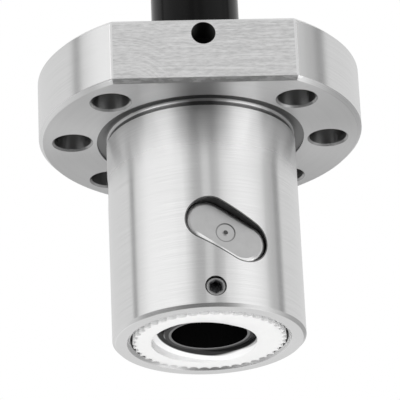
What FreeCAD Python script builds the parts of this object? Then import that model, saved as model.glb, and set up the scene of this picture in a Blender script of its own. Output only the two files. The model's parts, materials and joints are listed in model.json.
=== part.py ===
import FreeCAD, Part
import math
import os

import Sketcher
from FreeCAD import Placement, Rotation, Vector

# Flanged single ball nut with internal ball return, on the hollow sleeve it is shipped on.
# Millimetres and degrees. +Z runs along the screw axis from the nose (z = 0) to the flange,
# the front flat of the flange looks to -Y, and angles round the nut start there, towards +X.

# Driving sizes.
SIZES = {
    "nut_length": 42.0,
    "body_diameter": 28.0,
    "body_end_chamfer": 0.45,
    "flange_thickness": 10.0,
    "flange_rim": 2.25,
    "flange_across_flats": 40.0,
    "flange_edge_chamfer": 0.6,
    "bolt_land": 0.85,
    "bolt_hole": 5.5,
    "bolt_hole_chamfer": 0.3,
    "bolt_spread": 45.0,
    "neck_depth": 0.35,
    "neck_height": 0.9,
    "face_groove_width": 1.4,
    "face_groove_depth": 0.25,
    "relief_radius": 0.6,
    "bore_diameter": 16.8,
    "seal_pocket_diameter": 22.8,
    "seal_pocket_depth": 5.0,
    "seal_pocket_chamfer": 0.5,
    "screw_lead": 5.0,
    "ball_diameter": 3.175,
    "ball_circle": 16.6,
    "groove_conformity": 0.52,
    "ball_play": 0.2,
    "circuit_count": 3,
    "first_insert_angle": 10.7,
    "first_insert_height": 11.8,
    "crossover_half_angle": 25.0,
    "crossover_lift": 1.45,
    "insert_width": 6.4,
    "insert_end_wall": 0.48,
    "insert_top_reach": 12.4,
    "insert_edge_radius": 0.7,
    "insert_clearance": 0.02,
    "slot_overrun": 0.5,
    "insert_mark_diameter": 2.8,
    "insert_mark_depth": 0.12,
    "insert_pip_diameter": 0.8,
    "wiper_clearance": 0.3,
    "wiper_teeth": 44,
    "wiper_flute_depth": 0.55,
    "wiper_flute_radius": 0.72,
    "wiper_sleeve_gap": 0.25,
    "wiper_root_clearance": 0.12,
    "wiper_rib_crest": 1.0,
    "wiper_rib_root": 2.6,
    "grub_diameter": 3.0,
    "grub_length": 3.0,
    "grub_tip_diameter": 0.3,
    "grub_tip_length": 1.35,
    "grub_end_chamfer": 0.25,
    "grub_hole_clearance": 0.02,
    "grub_tip_clearance": 0.1,
    "hex_socket": 1.5,
    "hex_socket_depth": 1.3,
    "nose_grub_angle": 2.0,
    "nose_grub_height": 3.0,
    "flange_grub_drop": 2.4,
    "key_hole_diameter": 3.5,
    "key_hole_depth": 5.0,
    "oil_port_diameter": 6.0,
    "oil_port_depth": 7.0,
    "oil_port_rise": 4.2,
    "oil_port_chamfer": 0.4,
    "oil_passage_diameter": 2.4,
    "oil_passage_drop": 1.2,
    "sleeve_clearance": 0.1,
    "sleeve_wall": 1.1,
    "sleeve_length": 60.0,
    "sleeve_set_back": 1.1,
    "sleeve_edge_chamfer": 0.2,
}

# Measures worked out from the driving sizes.
WORKED = {
    "body_radius": "Sizes.body_diameter / 2",
    "nose_face_radius": "Sizes.body_diameter / 2 - Sizes.body_end_chamfer",
    "flange_radius": "Worked.bolt_row_x + Worked.bolt_radius + Sizes.flange_rim",
    "flange_seat": "Sizes.nut_length - Sizes.flange_thickness",
    "flat_reach": "Sizes.flange_across_flats / 2",
    "flat_cut_reach": "Worked.flange_radius + Sizes.flange_edge_chamfer",
    "neck_radius": "Sizes.body_diameter / 2 - Sizes.neck_depth",
    "neck_start": "Sizes.nut_length - Sizes.flange_thickness - Sizes.neck_height",
    "face_groove_radius": "Sizes.body_diameter / 2 + Sizes.face_groove_width",
    "face_groove_floor": "Sizes.nut_length - Sizes.flange_thickness + Sizes.face_groove_depth",
    "bolt_radius": "Sizes.bolt_hole / 2",
    "bolt_row_x": "Worked.face_groove_radius + Sizes.bolt_land + Worked.bolt_radius",
    "bolt_corner_x": "Worked.bolt_row_x * cos(Sizes.bolt_spread)",
    "bolt_corner_y": "Worked.bolt_row_x * sin(Sizes.bolt_spread)",
    "bore_radius": "Sizes.bore_diameter / 2",
    "seal_radius": "Sizes.seal_pocket_diameter / 2",
    "seal_mouth_radius": "Sizes.seal_pocket_diameter / 2 + Sizes.seal_pocket_chamfer",
    "upper_seal_floor": "Sizes.nut_length - Sizes.seal_pocket_depth",
    "upper_seal_mouth": "Sizes.nut_length - Sizes.seal_pocket_chamfer",
    "ball_radius": "Sizes.ball_diameter / 2",
    "ball_track_radius": "Sizes.ball_circle / 2",
    "groove_radius": "Sizes.ball_diameter * Sizes.groove_conformity",
    "crossover_x": "Sizes.ball_circle / 2 * sin(Sizes.crossover_half_angle)",
    "crossover_z": "Sizes.screw_lead * (0.5 - Sizes.crossover_half_angle / 360)",
    "crossover_reach": "sqrt(Worked.crossover_x ^ 2 + Worked.crossover_z ^ 2)",
    "slot_end_radius": "Sizes.insert_width / 2",
    "slot_cut_reach": "Worked.body_radius + Sizes.slot_overrun",
    "slot_centre_reach": "Worked.crossover_reach + Worked.groove_radius + Sizes.insert_end_wall"
                         " - Worked.slot_end_radius",
    "slot_centre_x": "Worked.slot_centre_reach * Worked.crossover_x / Worked.crossover_reach",
    "slot_centre_z": "Worked.slot_centre_reach * Worked.crossover_z / Worked.crossover_reach",
    "insert_end_radius": "Worked.slot_end_radius - Sizes.insert_clearance",
    "insert_mark_radius": "Sizes.insert_mark_diameter / 2",
    "insert_pip_radius": "Sizes.insert_pip_diameter / 2",
    "wiper_radius": "Worked.seal_radius - Sizes.wiper_clearance",
    "wiper_flute_centre": "Worked.wiper_radius - Sizes.wiper_flute_depth + Sizes.wiper_flute_radius",
    "wiper_crest_radius": "Worked.sleeve_radius + Sizes.wiper_sleeve_gap",
    "wiper_root_radius": "Worked.ball_track_radius + Sizes.wiper_root_clearance",
    "wiper_flank_slope": "(Sizes.wiper_rib_root - Sizes.wiper_rib_crest)"
                         " / (Worked.wiper_root_radius - Worked.wiper_crest_radius)",
    "wiper_rib_mouth": "Sizes.wiper_rib_crest - Worked.wiper_flank_slope * Sizes.wiper_sleeve_gap",
    "wiper_space_mouth": "Sizes.screw_lead - Worked.wiper_rib_mouth",
    "wiper_space_root": "Sizes.screw_lead - Sizes.wiper_rib_root",
    "grub_radius": "Sizes.grub_diameter / 2",
    "grub_tip_radius": "Sizes.grub_tip_diameter / 2",
    "grub_rim_radius": "Sizes.grub_diameter / 2 - Sizes.grub_end_chamfer",
    "grub_rim_start": "Sizes.grub_length - Sizes.grub_end_chamfer",
    "grub_hole_radius": "Sizes.grub_diameter / 2 + Sizes.grub_hole_clearance",
    "grub_tip_reach": "Worked.wiper_radius - Sizes.wiper_flute_depth + Sizes.grub_tip_clearance",
    "hex_corner_radius": "Sizes.hex_socket / 2 / cos(30)",
    "flange_grub_height": "Sizes.nut_length - Sizes.flange_grub_drop",
    "key_hole_radius": "Sizes.key_hole_diameter / 2",
    "key_hole_floor": "Worked.flat_reach - Sizes.key_hole_depth",
    "oil_port_radius": "Sizes.oil_port_diameter / 2",
    "oil_port_height": "Worked.flange_seat + Sizes.oil_port_rise",
    "oil_port_floor": "Worked.flat_reach - Sizes.oil_port_depth",
    "oil_passage_radius": "Sizes.oil_passage_diameter / 2",
    "oil_passage_height": "Worked.oil_port_height - Sizes.oil_passage_drop",
    "oil_passage_reach": "Worked.flat_reach - Sizes.oil_port_depth / 2",
    "sleeve_radius": "Sizes.ball_circle / 2 - Sizes.ball_diameter / 2 - Sizes.sleeve_clearance",
    "sleeve_inner_radius": "Worked.sleeve_radius - Sizes.sleeve_wall",
    "sleeve_rim_radius": "Worked.sleeve_radius - Sizes.sleeve_edge_chamfer",
    "sleeve_rim_end": "Sizes.sleeve_length - Sizes.sleeve_edge_chamfer",
}

FRONT = Rotation(Vector(0, 0, 1), -90)  # turns +X to the front flat's -Y
UPRIGHT = Vector(0, 0, 1)
HELIX_START = 90.0  # degrees from the front where the helical cuts begin
CHANNEL_SPANS = 12  # spans of a return channel's loft
CHANNEL_REACH = 2.2  # how far the loft runs, in half lengths of the crossover
SMALL_STEP = 1e-4  # of a half length, to find a path's direction
NEAR = 1e-4  # two lengths this close are the same
TRACK_SAMPLES = 720  # straight steps when the length of a ball circuit is added up

doc = FreeCAD.newDocument("ball_screw_nut")


def fill_sheet(name, cells, lead_in):
    """A sheet with one named cell a row."""
    sheet = doc.addObject("Spreadsheet::Sheet", name)
    for row, (alias, content) in enumerate(cells.items(), start=1):
        sheet.set(f"A{row}", alias)
        sheet.set(f"B{row}", f"{lead_in}{content}")
        sheet.setAlias(f"B{row}", alias)
    doc.recompute()
    return sheet


sizes = fill_sheet("Sizes", SIZES, "")
worked = fill_sheet("Worked", WORKED, "=")


def cell(name):
    """The expression that reads a named size or worked measure."""
    return f"Sizes.{name}" if name in SIZES else f"Worked.{name}"


def measure(name):
    """The present number of a named size or worked measure."""
    value = (sizes if name in SIZES else worked).get(name)
    return float(getattr(value, "Value", value))


CIRCUITS = round(measure("circuit_count"))


# Sketches

def origin_plane(body, role):
    return next(plane for plane in body.Origin.OriginFeatures if plane.Role == role)


def new_sketch(body, name, role):
    sketch = body.newObject("Sketcher::SketchObject", name)
    sketch.AttachmentSupport = (origin_plane(body, role), [""])
    sketch.MapMode = "FlatFace"
    return sketch


def bind(sketch, kind, places, name, sign=""):
    """A dimension of the sketch that follows a named measure."""
    value = -measure(name) if sign else measure(name)
    index = sketch.addConstraint(Sketcher.Constraint(kind, *places, value))
    sketch.setExpression(f"Constraints[{index}]", sign + cell(name))


def pin_point(sketch, shape, point, across, along):
    """Hold a point at two named measures from the sketch's origin; None is on the axis."""
    for kind, axis, name in (("DistanceX", -2, across), ("DistanceY", -1, along)):
        if name is None:
            sketch.addConstraint(Sketcher.Constraint("PointOnObject", shape, point, axis))
        elif name.startswith("-"):
            bind(sketch, kind, (-1, 1, shape, point), name[1:], "-")
        else:
            bind(sketch, kind, (-1, 1, shape, point), name)


def signed(name):
    if name is None:
        return 0.0
    return -measure(name[1:]) if name.startswith("-") else measure(name)


def draw_outline(sketch, corners):
    """A closed outline of straight edges through corners, each two named measures."""
    spots = [Vector(signed(across), signed(along), 0) for across, along in corners]
    edges = [
        sketch.addGeometry(Part.LineSegment(start, end))
        for start, end in zip(spots, spots[1:] + spots[:1])
    ]
    for edge, following in zip(edges, edges[1:] + edges[:1]):
        sketch.addConstraint(Sketcher.Constraint("Coincident", edge, 2, following, 1))
    for edge, (across, along) in zip(edges, corners):
        pin_point(sketch, edge, 1, across, along)


def draw_circle(sketch, radius, across=None, along=None):
    centre = Vector(signed(across), signed(along), 0)
    circle = sketch.addGeometry(Part.Circle(centre, UPRIGHT, measure(radius)))
    bind(sketch, "Radius", (circle,), radius)
    pin_point(sketch, circle, 3, across, along)


def draw_trapezium(sketch, inner, outer):
    """Two upright sides, each a distance from the axis and a length, even about the sketch's middle."""
    corners = []
    for (reach, length), ends in ((inner, (-0.5, 0.5)), (outer, (0.5, -0.5))):
        corners += [Vector(measure(reach), measure(length) * end, 0) for end in ends]
    edges = [
        sketch.addGeometry(Part.LineSegment(start, end))
        for start, end in zip(corners, corners[1:] + corners[:1])
    ]
    for edge, following in zip(edges, edges[1:] + edges[:1]):
        sketch.addConstraint(Sketcher.Constraint("Coincident", edge, 2, following, 1))
    for edge, (reach, length) in ((edges[0], inner), (edges[2], outer)):
        sketch.addConstraint(Sketcher.Constraint("Symmetric", edge, 1, edge, 2, -1))
        bind(sketch, "DistanceX", (-1, 1, edge, 1), reach)
        bind(sketch, "Distance", (edge,), length)


def draw_slot(sketch, end_radius):
    """The tilted slot of a return insert, high on the left and low on the right."""
    reach = Vector(measure("slot_centre_x"), -measure("slot_centre_z"), 0)
    side = Vector(-reach.y, reach.x, 0).normalize() * measure(end_radius)
    heading = math.atan2(side.y, side.x)
    right_end = Part.Circle(reach, UPRIGHT, measure(end_radius))
    left_end = Part.Circle(-reach, UPRIGHT, measure(end_radius))
    right = sketch.addGeometry(Part.ArcOfCircle(right_end, heading - math.pi, heading))
    left = sketch.addGeometry(Part.ArcOfCircle(left_end, heading, heading + math.pi))
    upper = sketch.addGeometry(Part.LineSegment(reach + side, -reach + side))
    lower = sketch.addGeometry(Part.LineSegment(-reach - side, reach - side))
    for first, following in ((right, upper), (upper, left), (left, lower), (lower, right)):
        sketch.addConstraint(Sketcher.Constraint("Tangent", first, 2, following, 1))
    sketch.addConstraint(Sketcher.Constraint("Symmetric", right, 3, left, 3, -1, 1))
    bind(sketch, "Radius", (right,), end_radius)
    pin_point(sketch, right, 3, "slot_centre_x", "-slot_centre_z")


# Features

def revolve(body, sketch, name):
    feature = body.newObject("PartDesign::Revolution", name)
    feature.Profile = sketch
    feature.ReferenceAxis = (sketch, ["V_Axis"])
    feature.Angle = 360
    return feature


def pad(body, sketch, name, length, reverse=False):
    feature = body.newObject("PartDesign::Pad", name)
    feature.Profile = sketch
    feature.Reversed = reverse
    feature.setExpression("Length", cell(length))
    return feature


def cut(body, sketch, name, length, reverse=False):
    """A pocket of named length; it has to take material away."""
    doc.recompute()
    before = body.Shape.Volume
    feature = body.newObject("PartDesign::Pocket", name)
    feature.Profile = sketch
    feature.Reversed = reverse
    feature.setExpression("Length", cell(length))
    doc.recompute()
    if feature.Shape.Volume >= before:
        raise RuntimeError(f"{body.Label}: {name} takes nothing away")
    return feature


def cut_helix(body, sketch, name, turns):
    """A right-hand helical cut about the Z axis, at the screw's lead."""
    feature = body.newObject("PartDesign::SubtractiveHelix", name)
    feature.Profile = sketch
    feature.ReferenceAxis = (sketch, ["V_Axis"])
    feature.Mode = "pitch-turns-angle"
    feature.Turns = turns
    feature.setExpression("Pitch", cell("screw_lead"))
    return feature


def dress_edges(body, kind, name, amount, size, wanted):
    """Bevel or round those edges of the body that the test picks out."""
    doc.recompute()
    base = body.Tip
    edges = [f"Edge{n}" for n, edge in enumerate(base.Shape.Edges, start=1) if wanted(edge)]
    feature = body.newObject(f"PartDesign::{kind}", name)
    feature.Base = (base, edges)
    feature.setExpression(amount, cell(size))


def chamfer(body, name, size, wanted):
    dress_edges(body, "Chamfer", name, "Size", size, wanted)


def fillet(body, name, size, wanted):
    dress_edges(body, "Fillet", name, "Radius", size, wanted)


def same(first, second):
    return abs(first - second) < NEAR


def is_level(edge, height):
    box = edge.BoundBox
    return same(box.ZMin, height) and same(box.ZMax, height)


def is_circle(edge, radius):
    return isinstance(edge.Curve, Part.Circle) and same(edge.Curve.Radius, radius)


# The screw line that the ball track, the wipers' ribs and the balls share

def groove_height(angle):
    """Height of the track's middle at an angle from the front, on the first circuit's lower turn."""
    turned = (angle - measure("first_insert_angle")) / 360
    return measure("first_insert_height") + measure("screw_lead") * (turned - 0.5)


def groove_start(top):
    """Highest height of the track, where the helical cuts begin, that is not above top."""
    lead = measure("screw_lead")
    height = groove_height(HELIX_START)
    return height - lead * math.ceil((height - top) / lead)


def helix_sketch(body, name, height):
    """A sketch through the axis for the section of a helical cut, its origin at that height."""
    sketch = new_sketch(body, name, "XZ_Plane")
    sketch.AttachmentOffset = Placement(Vector(0, height, 0), Rotation(Vector(0, 1, 0), HELIX_START - 90))
    return sketch


def insert_angle(circuit):
    """Turn of a circuit's return insert: the circuits share the round evenly."""
    return measure("first_insert_angle") + 360 / CIRCUITS * circuit


def insert_height(circuit):
    """Height of a circuit's return insert, as an expression: a turn and a share further on."""
    return f"{cell('first_insert_height')} + {cell('screw_lead')} * (1 + 1 / {CIRCUITS}) * {circuit}"


def place_in_circuit(item, circuit):
    """Stand a piece that is modelled at the front, round z = 0, at a circuit's insert."""
    item.Placement = Placement(Vector(), Rotation(UPRIGHT, insert_angle(circuit))).multiply(item.Placement)
    offset = item.Placement.Base.z
    item.setExpression("Placement.Base.z", f"{insert_height(circuit)} + {offset}")


def round_the_bore(radius, angle, height):
    turn = math.radians(angle)
    return Vector(radius * math.sin(turn), -radius * math.cos(turn), height)


def crossover_point(step):
    """Ball centre in a return channel, step -1 at the upper turn to 1 at the lower one.

    The height is the cubic that leaves both turns along the track, and the balls rise
    from the track to pass over the screw's land.
    """
    half = measure("crossover_half_angle")
    drop = measure("crossover_z")
    slope = measure("screw_lead") * half / 360
    height = -(3 * drop + slope) / 2 * step + (drop + slope) / 2 * step ** 3
    rise = measure("crossover_lift") * (1 - step ** 2) ** 2
    return round_the_bore(measure("ball_track_radius") + rise, half * step, height)


def track_point(angle):
    """Ball centre on the track, angle 0 to 360 from the lower turn under an insert to the upper."""
    height = measure("screw_lead") * (angle / 360 - 0.5)
    return round_the_bore(measure("ball_track_radius"), angle, height)


def channel_point(step):
    """Ball centre in a return channel and, past its two ends, on the track."""
    half = measure("crossover_half_angle")
    if step < -1:
        return track_point(half * step) + Vector(0, 0, measure("screw_lead"))
    if step > 1:
        return track_point(half * step)
    return crossover_point(step)


def circuit_point(share):
    """Ball centre at a share of the way round one closed circuit."""
    half = measure("crossover_half_angle")
    crossing = 2 * half / 360
    if share < crossing:
        return crossover_point(2 * share / crossing - 1)
    return track_point(half + (share - crossing) / (1 - crossing) * (360 - 2 * half))


def ball_places():
    """Ball centres, evenly spaced round a circuit that is filled as far as the play allows."""
    line = [circuit_point(step / TRACK_SAMPLES) for step in range(TRACK_SAMPLES + 1)]
    run = [0.0]
    for start, end in zip(line, line[1:]):
        run.append(run[-1] + start.distanceToPoint(end))
    count = int(run[-1] / (measure("ball_diameter") + measure("ball_play")))
    places = []
    for ball in range(count):
        wanted = run[-1] * ball / count
        step = max(index for index, length in enumerate(run[:-1]) if length <= wanted)
        ahead = (wanted - run[step]) / (run[step + 1] - run[step])
        places.append(line[step] + (line[step + 1] - line[step]) * ahead)
    return places


# Nut body: turned and ground, with the flange in one piece

def radial_sketch(body, name, height, angle=0.0):
    """A sketch through the axis that looks outwards at an angle from the front."""
    sketch = new_sketch(body, name, "XZ_Plane")
    sketch.AttachmentOffset = Placement(Vector(), Rotation(Vector(0, 1, 0), angle))
    sketch.setExpression("AttachmentOffset.Base.y", height)
    return sketch


def make_nut_body():
    body = doc.addObject("PartDesign::Body", "nut_body")

    profile = new_sketch(body, "turned_profile", "XZ_Plane")
    draw_outline(profile, [
        ("bore_radius", "seal_pocket_depth"),
        ("bore_radius", "upper_seal_floor"),
        ("seal_radius", "upper_seal_floor"),
        ("seal_radius", "upper_seal_mouth"),
        ("seal_mouth_radius", "nut_length"),
        ("flange_radius", "nut_length"),
        ("flange_radius", "flange_seat"),
        ("face_groove_radius", "flange_seat"),
        ("face_groove_radius", "face_groove_floor"),
        ("neck_radius", "face_groove_floor"),
        ("neck_radius", "neck_start"),
        ("body_radius", "neck_start"),
        ("body_radius", "body_end_chamfer"),
        ("nose_face_radius", None),
        ("seal_mouth_radius", None),
        ("seal_radius", "seal_pocket_chamfer"),
        ("seal_radius", "seal_pocket_depth"),
    ])
    revolve(body, profile, "turned_blank")

    flats = new_sketch(body, "flat_outlines", "XY_Plane")
    for sign in ("", "-"):
        draw_outline(flats, [
            ("-flat_cut_reach", sign + "flat_reach"),
            ("flat_cut_reach", sign + "flat_reach"),
            ("flat_cut_reach", sign + "flat_cut_reach"),
            ("-flat_cut_reach", sign + "flat_cut_reach"),
        ])
    cut(body, flats, "flange_flats", "nut_length", reverse=True)

    bolts = new_sketch(body, "bolt_centres", "XY_Plane")
    for side in ("", "-"):
        draw_circle(bolts, "bolt_radius", side + "bolt_row_x", None)
        for end in ("", "-"):
            draw_circle(bolts, "bolt_radius", side + "bolt_corner_x", end + "bolt_corner_y")
    cut(body, bolts, "bolt_holes", "nut_length", reverse=True)

    seat, top = measure("flange_seat"), measure("nut_length")

    def in_relief_corner(edge):
        return is_circle(edge, measure("neck_radius")) and is_level(edge, measure("face_groove_floor"))

    def on_flange_rim(edge):
        middle = edge.valueAt((edge.FirstParameter + edge.LastParameter) / 2)
        at_rim = math.hypot(middle.x, middle.y) > measure("flat_reach") - NEAR
        level = is_level(edge, seat) or is_level(edge, top)
        return level and at_rim and not is_circle(edge, measure("bolt_radius"))

    def on_bolt_hole(edge):
        return is_circle(edge, measure("bolt_radius")) and (is_level(edge, seat) or is_level(edge, top))

    fillet(body, "relief_rounding", "relief_radius", in_relief_corner)
    chamfer(body, "flange_edge_bevel", "flange_edge_chamfer", on_flange_rim)
    chamfer(body, "bolt_hole_bevels", "bolt_hole_chamfer", on_bolt_hole)

    for circuit in range(CIRCUITS):
        name = f"insert_slot_{circuit + 1}"
        slot = radial_sketch(body, f"{name}_outline", insert_height(circuit), insert_angle(circuit))
        draw_slot(slot, "slot_end_radius")
        cut(body, slot, name, "slot_cut_reach", reverse=True)

    nose_grub = radial_sketch(body, "nose_grub_centre", cell("nose_grub_height"), measure("nose_grub_angle"))
    draw_circle(nose_grub, "grub_hole_radius")
    cut(body, nose_grub, "nose_grub_hole", "flange_radius", reverse=True)

    flange_grub = radial_sketch(body, "flange_grub_centre", cell("flange_grub_height"))
    draw_circle(flange_grub, "grub_hole_radius")
    cut(body, flange_grub, "flange_grub_hole", "flange_radius", reverse=True)

    key_hole = radial_sketch(body, "key_hole_centre", cell("flange_grub_height"))
    key_hole.setExpression("AttachmentOffset.Base.z", cell("key_hole_floor"))
    draw_circle(key_hole, "key_hole_radius")
    cut(body, key_hole, "key_hole", "flange_radius", reverse=True)

    port = radial_sketch(body, "oil_port_centre", cell("oil_port_height"))
    port.setExpression("AttachmentOffset.Base.z", f"-{cell('oil_port_floor')}")
    draw_circle(port, "oil_port_radius")
    cut(body, port, "oil_port", "flange_radius")

    passage = radial_sketch(body, "oil_passage_centre", cell("oil_passage_height"))
    draw_circle(passage, "oil_passage_radius")
    cut(body, passage, "oil_passage", "oil_passage_reach")

    def on_port_mouth(edge):
        round_port = is_circle(edge, measure("oil_port_radius"))
        return round_port and same(edge.Curve.Center.y, measure("flat_reach"))

    chamfer(body, "oil_port_bevel", "oil_port_chamfer", on_port_mouth)

    start = groove_start(measure("seal_pocket_depth") - measure("groove_radius"))
    groove = helix_sketch(body, "track_section", start)
    draw_circle(groove, "groove_radius", "ball_track_radius")
    finish = measure("upper_seal_floor") + measure("groove_radius")
    cut_helix(body, groove, "ball_track", math.ceil((finish - start) / measure("screw_lead")))
    return body


# Return inserts: each lifts the balls over one land, from a turn's upper end back to its lower end

def channel_section(step):
    """Section of a return channel, square to its path: round outside, open towards the screw."""
    centre = channel_point(step)
    ahead = channel_point(step + SMALL_STEP) - channel_point(step - SMALL_STEP)
    across = ahead.cross(Vector(-centre.x, -centre.y, 0)).normalize() * measure("groove_radius")
    inwards = across.cross(ahead).normalize()
    left, right = centre - across, centre + across
    depth = inwards * (measure("ball_track_radius") - measure("sleeve_inner_radius"))
    return Part.Wire([
        Part.Arc(left, centre - inwards * measure("groove_radius"), right).toShape(),
        Part.makeLine(right, right + depth),
        Part.makeLine(right + depth, left + depth),
        Part.makeLine(left + depth, left),
    ])


def make_return_channel(name):
    """The S-shaped way of the balls through an insert, run out along the track at both ends."""
    spans = [2 * span / CHANNEL_SPANS - 1 for span in range(CHANNEL_SPANS + 1)]
    channel = doc.addObject("Part::Feature", name)
    channel.Shape = Part.makeLoft([channel_section(CHANNEL_REACH * span) for span in spans], True)
    return channel


def make_return_insert(circuit):
    number = circuit + 1
    body = doc.addObject("PartDesign::Body", f"insert_blank_{number}")
    outline = new_sketch(body, f"insert_outline_{number}", "XZ_Plane")
    draw_slot(outline, "insert_end_radius")
    pad(body, outline, f"insert_pad_{number}", "insert_top_reach")

    def on_top(edge):
        return same(edge.BoundBox.YMax, -measure("insert_top_reach"))

    fillet(body, f"insert_rounding_{number}", "insert_edge_radius", on_top)

    mark = new_sketch(body, f"insert_mark_outline_{number}", "XZ_Plane")
    mark.setExpression("AttachmentOffset.Base.z", cell("insert_top_reach"))
    draw_circle(mark, "insert_mark_radius")
    draw_circle(mark, "insert_pip_radius")
    cut(body, mark, f"insert_mark_{number}", "insert_mark_depth")

    bore = doc.addObject("Part::Cylinder", f"insert_bore_{number}")
    bore.setExpression("Radius", cell("bore_radius"))
    bore.setExpression("Height", cell("nut_length"))
    bore.setExpression("Placement.Base.z", f"-{cell('nut_length')} / 2")
    seated = doc.addObject("Part::Cut", f"insert_seated_{number}")
    seated.Base, seated.Tool = body, bore

    insert = doc.addObject("Part::Cut", f"return_insert_{number}")
    insert.Base, insert.Tool = seated, make_return_channel(f"return_channel_{number}")
    place_in_circuit(insert, circuit)
    return insert


def make_balls(circuit):
    balls = []
    for number, place in enumerate(ball_places(), start=1):
        ball = doc.addObject("Part::Sphere", f"circuit_{circuit + 1}_ball_{number:02d}")
        ball.setExpression("Radius", cell("ball_radius"))
        ball.Placement = Placement(place, Rotation())
        place_in_circuit(ball, circuit)
        balls.append(ball)
    return balls


# Wipers: plastic rings with a rib that rides in the screw's groove

def make_wiper(label, floor, grub_angle):
    """A wiper from the height floor up, with one flute under the grub screw."""
    body = doc.addObject("PartDesign::Body", label)
    ring = new_sketch(body, f"{label}_ring", "XY_Plane")
    ring.AttachmentOffset = Placement(Vector(0, 0, floor), Rotation())
    draw_circle(ring, "wiper_radius")
    draw_circle(ring, "wiper_crest_radius")
    pad(body, ring, f"{label}_pad", "seal_pocket_depth")

    lead = measure("screw_lead")
    middle = groove_start(floor - lead) + lead / 2
    space = helix_sketch(body, f"{label}_thread_space", middle)
    draw_trapezium(space, ("sleeve_radius", "wiper_space_mouth"), ("wiper_root_radius", "wiper_space_root"))
    turns = math.ceil((measure("seal_pocket_depth") + 2 * lead) / lead)
    cut_helix(body, space, f"{label}_thread", turns)

    flute = new_sketch(body, f"{label}_flute", "XY_Plane")
    flute.AttachmentOffset = Placement(Vector(0, 0, floor), FRONT * Rotation(UPRIGHT, grub_angle))
    draw_circle(flute, "wiper_flute_radius", "wiper_flute_centre", None)
    first = cut(body, flute, f"{label}_first_flute", "seal_pocket_depth", reverse=True)
    flutes = body.newObject("PartDesign::PolarPattern", f"{label}_flutes")
    flutes.Originals = [first]
    flutes.Axis = (flute, ["N_Axis"])
    flutes.Angle = 360
    flutes.setExpression("Occurrences", cell("wiper_teeth"))
    body.Tip = flutes
    return body


# Grub screws: cone point in a flute of the wiper, hexagon socket outwards

def make_grub_screw(label, angle, height):
    body = doc.addObject("PartDesign::Body", label)
    profile = new_sketch(body, f"{label}_profile", "XZ_Plane")
    draw_outline(profile, [
        (None, None),
        ("grub_tip_radius", None),
        ("grub_radius", "grub_tip_length"),
        ("grub_radius", "grub_rim_start"),
        ("grub_rim_radius", "grub_length"),
        (None, "grub_length"),
    ])
    revolve(body, profile, f"{label}_blank")

    socket = new_sketch(body, f"{label}_hexagon", "XY_Plane")
    socket.setExpression("AttachmentOffset.Base.z", cell("grub_length"))
    corner = measure("hex_corner_radius")
    spots = [Vector(corner * math.cos(math.radians(60 * n)), corner * math.sin(math.radians(60 * n)), 0)
             for n in range(6)]
    edges = [socket.addGeometry(Part.LineSegment(a, b)) for a, b in zip(spots, spots[1:] + spots[:1])]
    circle = socket.addGeometry(Part.Circle(Vector(), UPRIGHT, corner), True)
    bind(socket, "Radius", (circle,), "hex_corner_radius")
    pin_point(socket, circle, 3, None, None)
    for edge, following in zip(edges, edges[1:] + edges[:1]):
        socket.addConstraint(Sketcher.Constraint("Coincident", edge, 2, following, 1))
        socket.addConstraint(Sketcher.Constraint("PointOnObject", edge, 1, circle))
    for edge in edges[1:]:
        socket.addConstraint(Sketcher.Constraint("Equal", edges[0], edge))
    socket.addConstraint(Sketcher.Constraint("PointOnObject", edges[0], 1, -1))
    cut(body, socket, f"{label}_socket", "hex_socket_depth")

    outwards = Rotation(UPRIGHT, angle) * Rotation(Vector(1, 0, 0), 90)
    body.Placement = Placement(round_the_bore(measure("grub_tip_reach"), angle, height), outwards)
    return body


# Shipping sleeve: holds the balls in while the nut is off its screw

def make_sleeve():
    body = doc.addObject("PartDesign::Body", "transport_sleeve")
    profile = new_sketch(body, "sleeve_wall_section", "XZ_Plane")
    draw_outline(profile, [
        ("sleeve_inner_radius", None),
        ("sleeve_rim_radius", None),
        ("sleeve_radius", "sleeve_edge_chamfer"),
        ("sleeve_radius", "sleeve_rim_end"),
        ("sleeve_rim_radius", "sleeve_length"),
        ("sleeve_inner_radius", "sleeve_length"),
    ])
    revolve(body, profile, "sleeve_tube")
    body.setExpression("Placement.Base.z", cell("sleeve_set_back"))
    return body


subparts = [make_nut_body()]
for circuit in range(CIRCUITS):
    subparts.append(make_return_insert(circuit))
    subparts += make_balls(circuit)
subparts.append(make_wiper("nose_wiper", 0.0, measure("nose_grub_angle")))
subparts.append(make_wiper("flange_wiper", measure("upper_seal_floor"), 0.0))
subparts.append(make_grub_screw("nose_grub_screw", measure("nose_grub_angle"), measure("nose_grub_height")))
subparts.append(make_grub_screw("flange_grub_screw", 0.0, measure("flange_grub_height")))
subparts.append(make_sleeve())
doc.recompute()

for item in doc.Objects:
    if "Invalid" in item.State or "Error" in item.State:
        raise RuntimeError(f"{item.Label} failed: {item.State}")
for subpart in subparts:
    if subpart.Shape.isNull() or not subpart.Shape.isValid():
        raise RuntimeError(f"{subpart.Label} has no valid shape")

os.makedirs("parts", exist_ok=True)
for subpart in subparts:
    subpart.Shape.exportStep(f"parts/{subpart.Label}.step")
    print(subpart.Label, len(subpart.Shape.Solids), round(subpart.Shape.Volume, 3))
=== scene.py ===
"""Looks of a flanged ball screw nut on its shipping sleeve: finishes, threads, balls, stage and camera."""
import json
import math

import bmesh
import bpy
from mathutils import Matrix, Vector


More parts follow.
